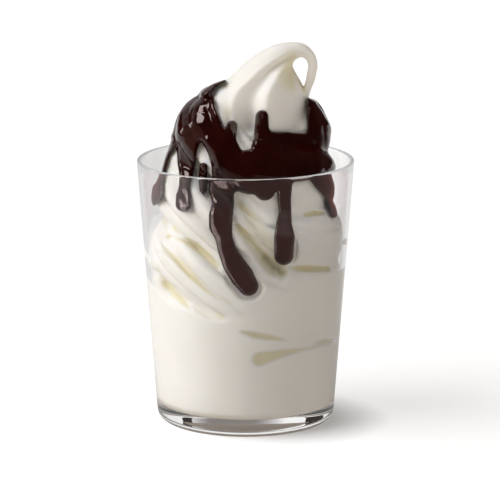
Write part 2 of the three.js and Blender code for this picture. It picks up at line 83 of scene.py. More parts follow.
# ---- Soft-serve rope. A turn of 0 is at the front, and turns climb clockwise seen from above.
PITCH = 22.5
COIL_BLEND = 1.4
FIRST_HEIGHT = 53.4
STEEP_SHARE = 0.62  # share of a turn's climb made on its steep stretch
STEEP_FROM, STEEP_TO = -0.09, 0.19
TOP_HEIGHT = 116.6
TOP_TURN = 2.25
TOP_FALL = 4.5  # the last coil sinks by this much a turn
TOP_BLEND = 1.5
FIRST_TURN, LAST_TURN = -1.3, 2.69
LEAN = 2.3  # the heap leans to the right by this much
LEAN_FROM, LEAN_TO = 55, 108
COIL_RADIUS = [(-1, 25.5), (0, 25.5), (0.5, 24.6), (1, 23.5), (1.25, 22.8), (1.75, 18.3),
               (2, 17.5), (2.25, 14.6), (2.69, 17)]
ROPE_RADIUS = [(1, 14.5), (2.25, 14.3), (2.69, 13.6)]
FLUTES = 8
FLUTE_TWIST = 1.12  # turns of the section for each turn of the coil
FLUTE_START = math.radians(6)
FLUTE_DEPTH = 2.5
FLUTE_SOFTNESS = 0.008  # rounds the valleys between two flutes
SMOOTH_SIDE = -25  # degrees; the flutes fade on this side
SMOOTH_SPREAD = 55
SMOOTH_SHARE = 0.85

# ---- Body of the heap behind the coils
HEAP_PROFILE = [(40, 36.5), (50, 37.5), (66, 37.6), (78, 36.8), (88, 35), (96, 33.4),
                (104, 31.6), (112, 30.3), (118, 27.8), (123, 23.5), (127, 18), (130, 10)]
HEAP_TOP = 118
HEAP_BLEND = 1.5
HEAP_INSET = 3.8  # its side lies this far inside the profile
HEAP_TAPER = 6  # and this much farther in above these heights
HEAP_TAPERS = (100, 114)
PRESSED_OUT = 3  # low down it bulges by this much, most towards this angle in radians
PRESSED_TOWARDS = -0.3
PRESSED_ENDS = (72, 84)
HEAP_SLOPE = 0.8  # keeps its field near a distance
BULGES = [((-20.5, -1.5, 103), 10.8)]  # pushed out between two coils: the centre and the radius
BULGE_BLEND = 4
# The same beside the peak, where no sauce lies.
SHOULDER = [((-8.0, -3.0, 125.2), 7.2), ((-7.2, 0.5, 128.2), 7.2)]
SHOULDER_BLEND = 3
# Folds laid along the wall: degrees from and to, height from and to, distance from the axis, radius.
FOLDS = [(-59, 24, 62.2, 58.0, 33.4, 5.4)]
FOLD_BLEND = 0.8
# Level up to which the glass is full: degrees round the axis and height.
FILL_LEVEL = [(-180, 59), (-158, 56), (-130, 48), (-110, 47), (-85, 49), (-60, 50), (-30, 50), (0, 52),
              (50, 56), (100, 58), (140, 60)]
FILL_BLEND = 4
CONTENTS_EDGE = 0.6  # rounds the soft serve where it leaves the glass
UNDER_SAUCE_GAP = 2.7  # the soft serve stays this far off the glass under the sauce in front
UNDER_SAUCE_EDGE = (0.2, 2.6)  # and comes back between these distances from the sauce

# Creases on the front plane: rows of across, up and half width, and how steeply the sides go down.
CREASES = [
    ([(-3.6, 116.4, 0.3), (1.0, 115.2, 0.8), (6.1, 113.8, 0.4)], 1.0),
    ([(-3.8, 76.3, 1.0), (1.8, 70.4, 2.4), (7.3, 64.5, 3.6), (11.6, 60.0, 3.8), (14.0, 57.6, 2.4)], 1.7),
    ([(-3.0, 85.0, 3.0), (2.5, 77.5, 5.0), (8.0, 69.5, 5.5), (12.5, 62.5, 3.0)], 0.5),
    ([(-4.6, 79.4, 0.4), (2.6, 77.5, 0.9), (9.7, 75.5, 0.9), (15.6, 74.7, 0.4)], 1.0),
    ([(23.1, 80.4, 0.2), (26.3, 80.8, 0.7), (29.8, 81.0, 0.2)], 1.6),
    ([(16.4, 60.1, 0.4), (21.5, 59.3, 1.0), (31.4, 58.9, 0.6)], 1.2),
    ([(16.8, 75.1, 0.4), (25.5, 73.9, 1.0), (38.1, 75.5, 0.4)], 0.6),
    ([(-29.8, 71.9, 0.1), (-23.5, 70.0, 0.8), (-18.8, 67.4, 1.6), (-14.4, 64.0, 1.6),
      (-10.5, 60.1, 0.9)], 1.3),
    ([(-32.2, 69.2, 0.1), (-29.8, 65.6, 1.1), (-25.5, 61.3, 1.6), (-20.8, 56.1, 1.6), (-15.2, 50.6, 1.0),
      (-10.1, 46.7, 0.2)], 1.4),
    ([(-35.0, 61.7, 0.1), (-32.2, 55.7, 1.4), (-27.5, 49.8, 1.9), (-23.5, 45.5, 1.4),
      (-21.1, 42.7, 0.2)], 1.2),
    ([(-36.9, 68.0, 0.1), (-35.4, 61.7, 0.9), (-33.8, 56.1, 0.2)], 0.9),
    ([(-18.0, 51.8, 0.2), (-9.3, 47.4, 0.7), (0.2, 43.5, 0.2)], 0.8),
]
CREASE_REACH = 1.0  # a crease starts this far outside its width
CREASE_SOFTNESS = 0.8
# Air pockets against the glass, as strokes on the front plane.
POCKETS = [
    [(-1.8, 34.4, 0.5), (3.3, 33.0, 1.7), (9.7, 32.0, 1.4), (16.8, 30.8, 0.5)],
    [(5.3, 23.3, 3.0), (11.6, 25.1, 2.2), (20.7, 27.3, 1.0), (31.8, 29.7, 0.5)],
    [(25.5, 29.3, 0.5), (29.4, 30.3, 1.1), (34.2, 31.2, 0.5)],
]
POCKET_DEPTH = 1.1
POCKET_EDGE = (-1.0, 0.3)  # a pocket fades out between these distances from its outline

# ---- Peak, a fluted horn that bends round the hole under its curl
HOLE_X, HOLE_Z = 22.0, 140.5
# The peak's section: degrees from its front crest, and the radius as a share of its largest.
PEAK_SECTION = [(-180, 0.84), (-140, 0.86), (-110, 0.95), (-75, 0.99), (-53, 1.0), (-46, 1.02), (-40, 0.94),
                (-34, 0.85), (-28, 0.77), (-22, 0.74), (-15, 0.78), (-7, 0.92), (0, 1.0), (7, 0.97),
                (20, 0.87), (40, 0.79), (62, 0.84), (82, 0.97), (92, 1.0), (135, 0.94)]
PEAK_FLUTES = (1.0, 5)  # the section turns round where its radius falls from one to the other
PEAK_SLOPE = 0.8  # keeps its field near a distance
TAIL_SLOPE = 0.85
STEM_FILLET = 1.6  # rounds the corner where the peak stands on the coils
LEFT_FILLET = 6.0  # on the left, reached between these distances from the axis
LEFT_FILLET_GROWS = (1, 8)
# Each row: where it lies, how far its centre is from the hole, its radius, and its crest in degrees.
STEM = [(100, 14.6, 15.5, -88), (112, 14.8, 16.5, -88), (122, 14.8, 17.2, -87), (129, 15.4, 17.6, -86),
        (134, 15.3, 16, -82), (138, 14.7, 13.5, -72), (140.5, 14, 11.7, -65)]
CURL = [(0, 14, 11.7, -65), (14, 11.8, 9.2, -58), (28, 10.2, 7.4, -53), (45, 9.1, 5.8, -49),
        (67, 8.2, 4.1, -46), (92, 7.7, 3, -45), (116, 6.5, 2.4, -45), (146, 5.1, 2.1, -45),
        (180, 4.2, 1.9, -45)]
TAIL = [(122, 0.6, 1.2, -45), (128.5, 1.2, 1.4, -45), (132.5, 2.1, 1.6, -45), (136.5, 3.5, 1.8, -45),
        (140.5, 4.2, 1.9, -45)]

# ---- Sauce
SAUCE_THICKNESS = 2.0
SAUCE_EDGE = 1.8
SAUCE_OFF_GLASS = 0.45  # the drips stay this far off the glass
DRIP_ROUNDING = 2.4  # and turn away from it in this radius
SAUCE_SINK = 0.4  # how far the sauce reaches under the skin of the ice cream
FLUTES_SHOWN = 0.3  # the share of their depth that the flutes keep under the sauce
SAUCE_FILLET = 7  # it rounds the corner at the foot of the peak by this much
SAUCE_CENTRE_X = 2.0
DOME_HEIGHT = 100.0  # above this level the way up follows a dome
DOME_RADIUS = 31.0
BACK_FROM, BACK_TO = 7, 15  # the back outline takes over between these depths
STREAM_BLEND = 1.2
# Streams of sauce on the front plane: rows of across, up and half width.
STREAMS = [
    [(-8.3, 133.2, 0.5), (-12.5, 131.6, 1.2), (-15.6, 129.4, 2.4), (-16.8, 124.1, 5.1), (-17.8, 118.5, 8.9)],
    [(-21.7, 124.1, 4.7), (-26.0, 118.5, 5.4), (-26.8, 113.8, 4.7)],
    [(-24.3, 113.8, 4.7), (-28.1, 108.7, 1.8), (-30.6, 103.9, 0.9), (-32.2, 99.2, 0.7), (-33.0, 95.2, 0.7)],
    [(-32.8, 94.0, 1.0), (-34.8, 90.1, 3.0), (-36.0, 86.5, 2.4), (-36.4, 83.8, 0.6)],
    [(-22.3, 112.2, 5.1), (-23.1, 105.9, 4.1), (-23.3, 100.8, 3.7), (-23.5, 96.0, 2.8), (-23.9, 91.3, 2.3),
     (-24.2, 87.7, 3.0), (-24.2, 84.8, 3.1)],
    [(-16.6, 99.2, 1.7), (-17.0, 94.8, 1.8), (-16.6, 90.5, 1.5), (-16.5, 88.9, 0.6)],
    [(-14.8, 115.4, 5.1), (-9.3, 106.3, 5.9), (-7.3, 100.4, 6.2), (-6.5, 95.2, 6.3)],
    [(-5.3, 115.4, 2.2), (-6.1, 111.8, 2.5), (-6.8, 108.6, 3.5), (-6.4, 105.4, 4.8)],
    [(6.5, 119.1, 2.6), (6.4, 115.4, 2.9), (6.4, 110.6, 3.2), (6.2, 107.4, 4.0)],
    [(-6.5, 97.2, 6.7), (1.8, 97.3, 8.9), (6.5, 97.6, 9.2), (15.6, 102.7, 10.5), (22.3, 102.7, 9.8),
     (27.8, 102.0, 5.9)],
    [(8.9, 111.4, 2.4), (15.2, 107.5, 5.7)],
    [(-16.2, 93.7, 0.7), (-12.9, 92.9, 0.9)],
    [(7.5, 94.0, 4.7), (7.5, 90.1, 4.1)],
    [(24.9, 126.0, 0.6), (26.4, 123.3, 2.4), (27.6, 119.7, 3.6), (28.4, 115.0, 4.1), (28.4, 109.1, 5.1)],
    [(30.2, 118.5, 1.8), (32.6, 113.8, 3.1), (33.4, 107.9, 3.5), (32.6, 100.0, 3.9)],
    [(-9.5, 90.1, 4.9), (-8.6, 85.4, 4.3), (-9.6, 80.2, 4.7), (-9.7, 76.2, 4.6), (-8.4, 71.3, 3.4),
     (-7.1, 66.0, 3.6), (-4.6, 61.0, 4.4), (-1.4, 56.2, 4.7), (1.1, 52.4, 4.0)],
    [(15.4, 92.9, 3.0), (15.1, 87.0, 2.7), (15.5, 81.8, 2.5), (15.0, 76.7, 3.1), (15.2, 71.5, 4.1),
     (14.9, 64.3, 3.8)],
    [(28.6, 97.2, 5.3), (32.2, 90.5, 3.3), (33.5, 87.3, 2.5), (34.3, 83.8, 2.1), (34.5, 80.9, 1.7)],
]
# A place where the sauce has settled flat: its middle, the way it faces and its reach.
FLAT_MIDDLE = (-17.2, -18.9, 123.6)
FLAT_FACING = (-0.240, -0.548, 0.801)
FLAT_REACH = 4.5
FLAT_LIFT = 3  # beyond its reach it rises clear of the sauce, by this much
FLAT_FADE = 3  # and over this distance
FLAT_EDGE = 0.5
# Raised lines on the sauce, drawn in the same way, with their heights.
RIDGES = [
    ([(-6.5, 133.4, 1.8), (-12.5, 131.3, 2.6), (-16.5, 128.6, 2.8)], 1.5),
    ([(-30.0, 119.0, 2.6), (-22.5, 123.6, 2.6), (-15.6, 124.6, 2.8), (-11.6, 122.1, 2.6),
      (-9.9, 116.0, 2.4)], 0.3),
    ([(-17.8, 118.0, 2.8), (-23.1, 114.2, 2.8), (-30.5, 108.2, 2.6)], 0.45),
    ([(-15.5, 109.5, 2.2), (-11.8, 106.0, 2.4), (-10.5, 99.0, 2.0)], 0.9),
    ([(6.2, 117.5, 1.6), (4.7, 112.0, 2.0), (4.5, 108.0, 1.6)], 0.6),
    ([(26.6, 121.7, 2.0), (28.4, 115.4, 2.4), (29.0, 105.9, 2.4), (29.4, 97.2, 2.0)], 0.9),
]
RIDGE_EDGE = (-2.2, 0.4)  # a line fades out between these distances from its outline
STEP_ACROSS = 15.5  # left of this line the sauce lies thicker, by the next number
STEP_HEIGHT = 0.8
STEP_SOFTNESS = 0.6
STEP_LOW, STEP_TOP = 92, 113
STEP_FADE = 4  # it fades out over this much at both ends
STEP_GROWS = (-4, 8)  # and grows from left to right between these places
# The outline behind: degrees round the heap, and the way up its side in mm.
SAUCE_LOW = [(-180, 103), (-170, 106), (-60, 101), (-30, 98), (-8, 97), (10, 101), (35, 99), (60, 103),
             (90, 100), (115, 104), (140, 101), (160, 105)]
SAUCE_HIGH = [(-180, 126), (-165, 126), (-60, 121), (-20, 122), (-10, 127), (10, 127), (40, 124), (80, 126),
              (130, 127), (165, 126)]
# Each drip behind is a chain of rows: degrees, way up the side, half width.
DRIPS = [
    [(18, 101, 3.4), (20, 90, 2.8), (19, 80, 3.4)],
    [(50, 101, 4), (48, 94, 2.8), (49, 88, 3.2)],
    [(76, 102, 3.4), (78, 90, 2.8), (80, 79, 3), (82, 70, 3.8)],
    [(104, 102, 3.4), (103, 94, 2.6), (102, 88, 3)],
    [(130, 102, 4), (128, 92, 3.2), (131, 82, 3.4), (130, 74, 4)],
    [(158, 105, 3), (156, 97, 2.6), (157, 92, 3)],
]
DRIP_DRUM = 34  # the drips behind are laid out on a drum of this radius
DRIP_BLEND = 1.5
OUTLINE_SLOPE = 0.85  # keeps the outline behind near a distance

# ---- Fineness of the meshes
ICE_STEP = 0.7
SAUCE_STEP = 0.5
SAUCE_ROOM = 5  # the drips may end this far outside the CAD node's box
BLOCK = 4  # grid cells along each side of a block
BLOCK_REACH = 2.2  # blocks this many sides or nearer to the surface are searched
SAMPLE_CHUNK = 60000
CORNER_STRIDES = (4, 2, 1)  # from a cell's corner to its neighbour along each axis, in their list
SMOOTHING = 0.5
SMOOTHING_ROUNDS = 2
LEAST_SLOPE = 0.2  # squared; flatter places of a field count as this steep

# ---- Painted shade of the soft serve: a creamy tint in its hollows and creases and beside the curl's hole. A pair says between which values a part of it comes in.
HOLLOW_REACH = 3.0  # other surfaces are looked for this far out
HOLLOW_SHADED = (0.25, 0.85)
TOUCHING_GLASS = (-1.2, -0.2)  # by the distance to the wall; no hollow gets painted shade there
GAP_UNSHADED = (0.1, 0.8)  # nor by the gap kept for the sauce
PALER_ABOVE = (88, 102)
PALER_SHARE = 0.3
CARVED_SHADED = (0.5, 2.0)  # by the depth of a crease
CARVED_ON_RIGHT = 0.45  # the share of the painted shade in the creases on the right
MIDDLE = (-9, -3)  # across, between left and right
HOLE_SHADE = 0.9  # the painted shade beside the hole under the curl
HOLE_SHADE_ENDS = (5, 11)  # from the hole's middle
HOLE_SHADE_LEFT = (1, 4)  # left of the hole's middle
THIN_SAUCE = (0.4, 1.8)  # the sauce is lighter where it is thinner than this

# ---- Tones
SOFT_SERVE_TONES = [(0.90, 0.885, 0.845), (0.925, 0.915, 0.88)]
# painted shade: the creamy yellow put into hollows and creases
PAINTED_CREASE_SHADE = (0.80, 0.745, 0.53)
UNDERSIDE_PAINTED_SHADE = (0.55, 0.50, 0.47)  # painted shade on the soft serve where it lies on the glass bottom
UNDERSIDE_ENDS = (FLOOR + 0.1, FLOOR + 0.6)
SAUCE_TONES = [(0.011, 0.0008, 0.0005), (0.018, 0.0018, 0.001)]
THIN_SAUCE_TONE = (0.024, 0.0025, 0.0015)
GLASS_TONES = [(0.985, 0.985, 0.985), (1.0, 1.0, 1.0)]
GLASS_PAINTED_SHADE = (0.76, 0.76, 0.76)  # painted shade: the back of the tumbler is darker on the left
PAINTED_SHADE_BETWEEN = (12, 34)  # mm from the axis that way
LEFT_BACK = (-0.6, 0.8, 0)
SHADOW_PASSED = (0.7, 0.7, 0.7)  # light that each face of the glass lets through
TRAPPED_AT_RIM = 0.62  # light that comes out after many reflections inside the glass
TRAPPED_AT_BASE = 0.05
TRAPPED_BETWEEN = (10, 60)  # the heights of the two
FLOOR_TONES = [(0.5, 0.5, 0.5), (0.51, 0.51, 0.51)]

# ---- Light
# Lights for matt surfaces: name, where it comes from, strength and spread in degrees.
SUNS = [
    ("key", (-2.2, -0.6, 1.9), 2.5, 50),
    ("fill", (2.3, -1.9, 1.0), 0.55, 70),
]
# Lamps for reflections: name, place, aim, size, brightness and colour.
SOFTBOXES = [
    ("warm_side", (-1500, -100, 500), (0, 0, 100), (1400, 2200), 0.35, (1.0, 0.62, 0.52)),
    ("top_softbox", (-352, 203, 1023), (0, 0, 110), (290, 320), 8.0, (0.97, 0.93, 0.93)),
    ("left_softbox", (-828, 478, 402), (0, 0, 110), (220, 260), 3.2, (0.97, 0.93, 0.93)),
]
FLOOR_RADIUS = 6000
FLOOR_SIDES = 96
FLOOR_LEVEL = -0.02
# Painted shadow on the floor: its glow is weakest round this centre, right of the tumbler's axis.
FLOOR_SHADOW_CENTRE = (16, -4, 0)
FLOOR_GLOW = (0.22, 0.66)  # the floor's glow, least near the tumbler, paints a shadow round its foot; it grows from the first value to the second
FLOOR_SHADOW_RADII = (19, 42)  # between these distances from its centre
FLOOR_BOUNCE = (0.80, 0.715, 0.62)  # what the floor gives back to matt surfaces
WORLD_SEEN = (1.0, 1.0, 1.0)
WORLD_BOUNCED = (0.2, 0.18, 0.16)

# ---- Room, as reflections show it: dark on the eye's side, with a white backdrop on the other
# Rays that have crossed no glass see the REFLECTED tones, and those inside it the others.
FRONT_REFLECTED = (0.03, 0.03, 0.03)
FRONT_IN_GLASS = (0.3, 0.29, 0.28)
BACK_REFLECTED = (0.42, 0.40, 0.40)
BACK_IN_GLASS = (1.05, 1.04, 1.03)
BACK_EDGE = (-0.3, 0.1)  # in glass, the back takes over between these depths of the direction
BACKDROP_AT = (-0.335, 0.919, 0.208)  # the direction of its middle
BACKDROP_EDGE = (0.7, 0.9)  # it fades in between these cosines from there
GAP_IN_GLASS = (0.26, 0.24, 0.23)  # a gap in the backdrop, seen through the glass bottom
GAP_AT = (0.102, 0.971, 0.216)
GAP_EDGE = (0.915, 0.985)
FLOOR_FRONT_REFLECTED = (0.06, 0.055, 0.05)
FLOOR_BACK_REFLECTED = (0.8, 0.79, 0.78)
FLOOR_BACK_EDGE = (-60, 120)  # from one to the other, in mm towards the left at the back
# Black cards beside the backdrop: degrees from and to, 0 being to the right and 90 behind.
CARDS = [(56, 63.5), (121.5, 142)]
CARD_TOP = (0.34, 0.36)  # the height of the direction towards their top edge
CARD_TONE = (0.02, 0.016, 0.015)
THROUGH_GLASS = (0.30, 0.105, 0.095)  # the room, as what is behind the glass reflects it
# A bright strip at the left, reflected as glints along the drips behind the glass.
GLINT_FROM, GLINT_TO = -174, -128
GLINT_TONE = (5.0, 4.5, 4.4)


# ---- Helpers for fields
def ramp(value, start, end):
    share = np.clip((value - start) / (end - start), 0, 1)
    return share * share * (3 - 2 * share)


def soft_min(a, b, blend):
    share = np.clip(0.5 + 0.5 * (b - a) / blend, 0, 1)
    return b + (a - b) * share - blend * share * (1 - share)


def rounded_max(a, b, radius):
    outside = np.hypot(np.maximum(a + radius, 0), np.maximum(b + radius, 0))
    return outside - radius + np.minimum(np.maximum(a + radius, b + radius), 0)


def look_up(table, value, column=1):
    """Straight lines between the rows of a table."""
    rows = np.array(table, float)
    return np.interp(value, rows[:, 0], rows[:, column])


def look_up_angle(table, degrees):
    rows = np.array(list(table) + [(table[0][0] + 360, table[0][1])], float)
    return np.interp(np.mod(degrees - rows[0, 0], 360) + rows[0, 0], rows[:, 0], rows[:, 1])


def look_up_smooth(table, value, column):
    """A cubic through the rows of a table."""
    rows = np.array(table, float)
    at, level = rows[:, 0], rows[:, column]
    slope = np.gradient(level, at)
    held = np.clip(value, at[0], at[-1])
    row = np.clip(np.searchsorted(at, held) - 1, 0, len(at) - 2)
    width = at[row + 1] - at[row]
    share = (held - at[row]) / width
    rest = 1 - share
    ends = (1 + 2 * share) * rest ** 2 * level[row] + share ** 2 * (3 - 2 * share) * level[row + 1]
    return ends + width * share * rest * (rest * slope[row] - share * slope[row + 1])


def look_up_round(table, degrees):
    """A cubic through the rows of a table that closes on itself after 360 degrees."""
    before = [(at - 360, level) for at, level in table[-2:]]
    after = [(at + 360, level) for at, level in table[:2]]
    start = table[0][0]
    return look_up_smooth(before + table + after, np.mod(degrees - start, 360) + start, 1)


def far_from(place):
    return np.full(np.shape(place), FAR)


# ---- Tumbler shape
def outer_wall(z):
    return BASE_RADIUS + (WIDEST - BASE_RADIUS) * z / (GLASS_HEIGHT - LIP)


def inner_wall(z):
    share = np.clip(z / GLASS_HEIGHT, 0, 1)
    return outer_wall(z) - WALL_AT_BASE - (WALL_AT_RIM - WALL_AT_BASE) * share


def cavity(x, y, z):
    """The space inside the tumbler, with its rounded corner."""
    return rounded_max(np.hypot(x, y) - inner_wall(z), FLOOR - z, CORNER_RADIUS)


# ---- Front plane
def front_plane(x, y, z):
    """Where a point shows on the front plane: across and up."""
    along, rise = y - EYE[1], z - EYE[2]
    away = along * math.cos(EYE_PITCH) - rise * math.sin(EYE_PITCH)
    up = along * math.sin(EYE_PITCH) + rise * math.cos(EYE_PITCH)
    return EYE[0] + (x - EYE[0]) * PLANE_AWAY / away, PLANE_LIFT + up * PLANE_AWAY / away


def on_front(y):
    """1 on the front, and 0 farther back."""
    return 1 - ramp(y, *FRONT_ENDS)


def stroke_distance(stroke, across, up):
    """Distance to a stroke: a chain of rows that each give a place and a half width."""
    distance = far_from(across)
    for (from_across, from_up, from_width), (to_across, to_up, to_width) in zip(stroke, stroke[1:]):
        run_across, run_up = to_across - from_across, to_up - from_up
        past = (across - from_across) * run_across + (up - from_up) * run_up
        share = np.clip(past / (run_across ** 2 + run_up ** 2), 0, 1)
        away = np.hypot(across - from_across - run_across * share, up - from_up - run_up * share)
        distance = np.minimum(distance, away - from_width - (to_width - from_width) * share)
    return distance


# ---- Rope of soft serve
def climb(turn):
    whole = np.floor(turn - STEEP_FROM)
    steep = ramp(turn - STEEP_FROM - whole, 0, STEEP_TO - STEEP_FROM)
    return PITCH * ((1 - STEEP_SHARE) * turn + STEEP_SHARE * (whole + steep))


def coil_height(turn):
    return soft_min(FIRST_HEIGHT + climb(turn), TOP_HEIGHT - TOP_FALL * (turn - TOP_TURN), TOP_BLEND)


def lean(z):
    return LEAN * ramp(z, LEAN_FROM, LEAN_TO)


def flute_depth(angle, section_angle):
    low = math.sqrt(FLUTE_SOFTNESS)
    wave = np.cos(FLUTES * section_angle / 2)
    valley = 1 - (np.sqrt(wave ** 2 + FLUTE_SOFTNESS) - low) / (math.sqrt(1 + FLUTE_SOFTNESS) - low)
    from_smooth = np.mod(np.degrees(angle) - SMOOTH_SIDE + 180, 360) - 180
    return FLUTE_DEPTH * valley * (1 - SMOOTH_SHARE * np.exp(-((from_smooth / SMOOTH_SPREAD) ** 2)))


def rope(x, y, z, flutes_shown=1.0):
    across = x - lean(z)
    radius = np.hypot(across, y)
    angle = np.arctan2(y, across)
    distance = far_from(radius)
    for whole in range(math.floor(FIRST_TURN) + 1, math.ceil(LAST_TURN) + 1):
        turn = (-math.pi / 2 - angle) / TAU + whole
        held = np.clip(turn, FIRST_TURN, LAST_TURN)
        coil = look_up(COIL_RADIUS, held)
        out = radius - coil
        up = z - coil_height(held)
        past = (turn - held) * TAU * coil
        section_angle = np.arctan2(up, out) - FLUTE_TWIST * TAU * turn + FLUTE_START
        skin = look_up(ROPE_RADIUS, held) - flute_depth(angle, section_angle) * flutes_shown
        distance = soft_min(distance, np.sqrt(out ** 2 + up ** 2 + past ** 2) - skin, COIL_BLEND)
    return distance


def heap(x, y, z):
    across = x - lean(z)
    towards_pressed = 0.5 + 0.5 * np.cos(np.arctan2(y, across) - PRESSED_TOWARDS)
    pressed = towards_pressed * (1 - ramp(z, *PRESSED_ENDS))
    inset = HEAP_INSET - PRESSED_OUT * pressed + HEAP_TAPER * ramp(z, *HEAP_TAPERS)
    side = (np.hypot(across, y) - look_up(HEAP_PROFILE, z)) * HEAP_SLOPE + inset
    return np.maximum(side, z - HEAP_TOP)


def balls(table, x, y, z):
    return np.minimum.reduce([
        np.sqrt((x - a) ** 2 + (y - b) ** 2 + (z - c) ** 2) - radius for (a, b, c), radius in table
    ])


def folds(x, y, z):
    """Short ropes along the wall, with rounded ends."""
    radius = np.hypot(x, y)
    degrees = np.degrees(np.arctan2(y, x))
    distance = far_from(z)
    for from_degrees, to_degrees, from_height, to_height, out, thickness in FOLDS:
        passed = np.mod(degrees - from_degrees + 90, 360) - 90
        share = np.clip(passed / (to_degrees - from_degrees), 0, 1)
        past = np.radians(passed - share * (to_degrees - from_degrees)) * out
        height = from_height + (to_height - from_height) * share
        reach = np.sqrt((radius - out) ** 2 + (z - height) ** 2 + past ** 2)
        distance = np.minimum(distance, reach - thickness)
    return distance


def creases(x, y, z):
    """How deep the creases on the front cut in."""
    across, up = front_plane(x, y, z)
    depth = np.zeros(np.shape(x))
    for crease, steepness in CREASES:
        inside = np.maximum(CREASE_REACH - stroke_distance(crease, across, up), 0)
        depth = np.maximum(depth, steepness * inside ** 2 / (inside + CREASE_SOFTNESS))
    return depth * on_front(y)


def pockets(x, y, z):
    """How far the soft serve stays off the glass."""
    across, up = front_plane(x, y, z)
    outline = np.minimum.reduce([stroke_distance(pocket, across, up) for pocket in POCKETS])
    return POCKET_DEPTH * (1 - ramp(outline, *POCKET_EDGE)) * on_front(y)


def fill(x, y, z):
    return z - look_up_round(FILL_LEVEL, np.degrees(np.arctan2(y, x)))


# ---- Peak
def peak_section(inward, y, radius, crest):
    section_angle = np.degrees(np.arctan2(y, inward))
    flute = look_up_round(PEAK_SECTION, section_angle - crest)
    return np.hypot(inward, y) - radius * (1 + (flute - 1) * ramp(radius, *PEAK_FLUTES))


def peak_part(table, at, from_hole, y):
    centre, radius, crest = (look_up_smooth(table, at, column) for column in (1, 2, 3))
    return peak_section(centre - from_hole, y, radius, crest)


def peak(x, y, z):
    left_of_hole = HOLE_X - x
    above_hole = z - HOLE_Z
    bend = np.degrees(np.arctan2(above_hole, left_of_hole))
    curl = peak_part(CURL, bend, np.hypot(left_of_hole, above_hole), y) * PEAK_SLOPE
    stem = peak_part(STEM, z, left_of_hole, y) * PEAK_SLOPE
    tail = np.where(z < TAIL[0][0], FAR, peak_part(TAIL, z, -left_of_hole, y) * TAIL_SLOPE)
    return np.where(above_hole >= 0, curl, np.minimum(stem, tail))


# ---- Soft serve as a whole
def ice_body(x, y, z, flutes_shown=1.0, fillet=STEM_FILLET):
    """The soft serve without the glass round it."""
    left_fillet = STEM_FILLET + (LEFT_FILLET - STEM_FILLET) * ramp(-x, *LEFT_FILLET_GROWS)
    coils = soft_min(rope(x, y, z, flutes_shown), heap(x, y, z), HEAP_BLEND)
    coils = soft_min(coils, balls(BULGES, x, y, z), BULGE_BLEND)
    coils = soft_min(coils, folds(x, y, z), FOLD_BLEND)
    packed = soft_min(coils, fill(x, y, z), FILL_BLEND) + creases(x, y, z) * flutes_shown
    return soft_min(packed, peak(x, y, z), np.maximum(fillet, left_fillet))


def front_outline(across, up):
    outline = far_from(across)
    for stream in STREAMS:
        outline = soft_min(outline, stroke_distance(stream, across, up), STREAM_BLEND)
    return outline


def gap_under_sauce(x, y, z):
    outline = front_outline(*front_plane(x, y, z))
    return UNDER_SAUCE_GAP * (1 - ramp(outline, *UNDER_SAUCE_EDGE)) * on_front(y)


def ice_cream(x, y, z):
    wall_gap = np.maximum(pockets(x, y, z), gap_under_sauce(x, y, z)) - WALL_SINK
    body = soft_min(ice_body(x, y, z), balls(SHOULDER, x, y, z), SHOULDER_BLEND)
    return rounded_max(body, cavity(x, y, z) + wall_gap, CONTENTS_EDGE)


# ---- Sauce
def back_outline(x, y, z):
    """The angle round the heap and the way up its side give the outline behind."""
    radius = np.hypot(x - SAUCE_CENTRE_X, y)
    degrees = np.degrees(np.arctan2(y, x - SAUCE_CENTRE_X))
    dome = DOME_HEIGHT + DOME_RADIUS * np.arctan2(z - DOME_HEIGHT, radius)
    way = np.where(z < DOME_HEIGHT, z, dome)
    below = look_up_angle(SAUCE_LOW, degrees) - way
    above = way - look_up_angle(SAUCE_HIGH, degrees)
    outline = np.maximum(below, above) * OUTLINE_SLOPE
    for drip in DRIPS:
        middle = drip[0][0]
        turned = np.radians(np.mod(degrees - middle + 180, 360) - 180)
        chain = [(math.radians(at - middle) * DRIP_DRUM, at_way, width) for at, at_way, width in drip]
        outline = soft_min(outline, stroke_distance(chain, turned * DRIP_DRUM, way), DRIP_BLEND)
    return outline


def sauce_thickness(across, up):
    thickness = np.full(np.shape(across), SAUCE_THICKNESS)
    for ridge, height in RIDGES:
        thickness = thickness + height * (1 - ramp(stroke_distance(ridge, across, up), *RIDGE_EDGE))
    on_step = ramp(up, STEP_LOW, STEP_LOW + STEP_FADE) * (1 - ramp(up, STEP_TOP - STEP_FADE, STEP_TOP))
    left_of_step = 1 - ramp(across, STEP_ACROSS - STEP_SOFTNESS, STEP_ACROSS + STEP_SOFTNESS)
    return thickness + STEP_HEIGHT * on_step * left_of_step * ramp(across, *STEP_GROWS)


def flat_place(x, y, z):
    offset = (x - FLAT_MIDDLE[0], y - FLAT_MIDDLE[1], z - FLAT_MIDDLE[2])
    above = sum(along * facing for along, facing in zip(offset, FLAT_FACING))
    away = np.sqrt(sum(along ** 2 for along in offset))
    return above - FLAT_LIFT * ramp(away, FLAT_REACH, FLAT_REACH + FLAT_FADE)


def sauce(x, y, z):
    """A layer on the soft serve, within the outlines and just off the glass."""
    across, up = front_plane(x, y, z)
    behind = ramp(y, BACK_FROM, BACK_TO)
    outline = front_outline(across, up) * (1 - behind) + back_outline(x, y, z) * behind
    thickness = sauce_thickness(across, up) * (1 - behind) + SAUCE_THICKNESS * behind
    covered = ice_body(x, y, z, FLUTES_SHOWN, SAUCE_FILLET) - thickness
    covered = rounded_max(covered, flat_place(x, y, z), FLAT_EDGE)
    layer = rounded_max(covered, outline, SAUCE_EDGE)
    kept = np.maximum(layer, -ice_cream(x, y, z) - SAUCE_SINK)
    return rounded_max(kept, cavity(x, y, z) + SAUCE_OFF_GLASS, DRIP_ROUNDING)


# ---- Meshes of fields
def sample(field, points):
    values = np.empty(len(points))
    for start in range(0, len(points), SAMPLE_CHUNK):
        part = points[start:start + SAMPLE_CHUNK]
        values[start:start + SAMPLE_CHUNK] = field(part[:, 0], part[:, 1], part[:, 2])
    return values


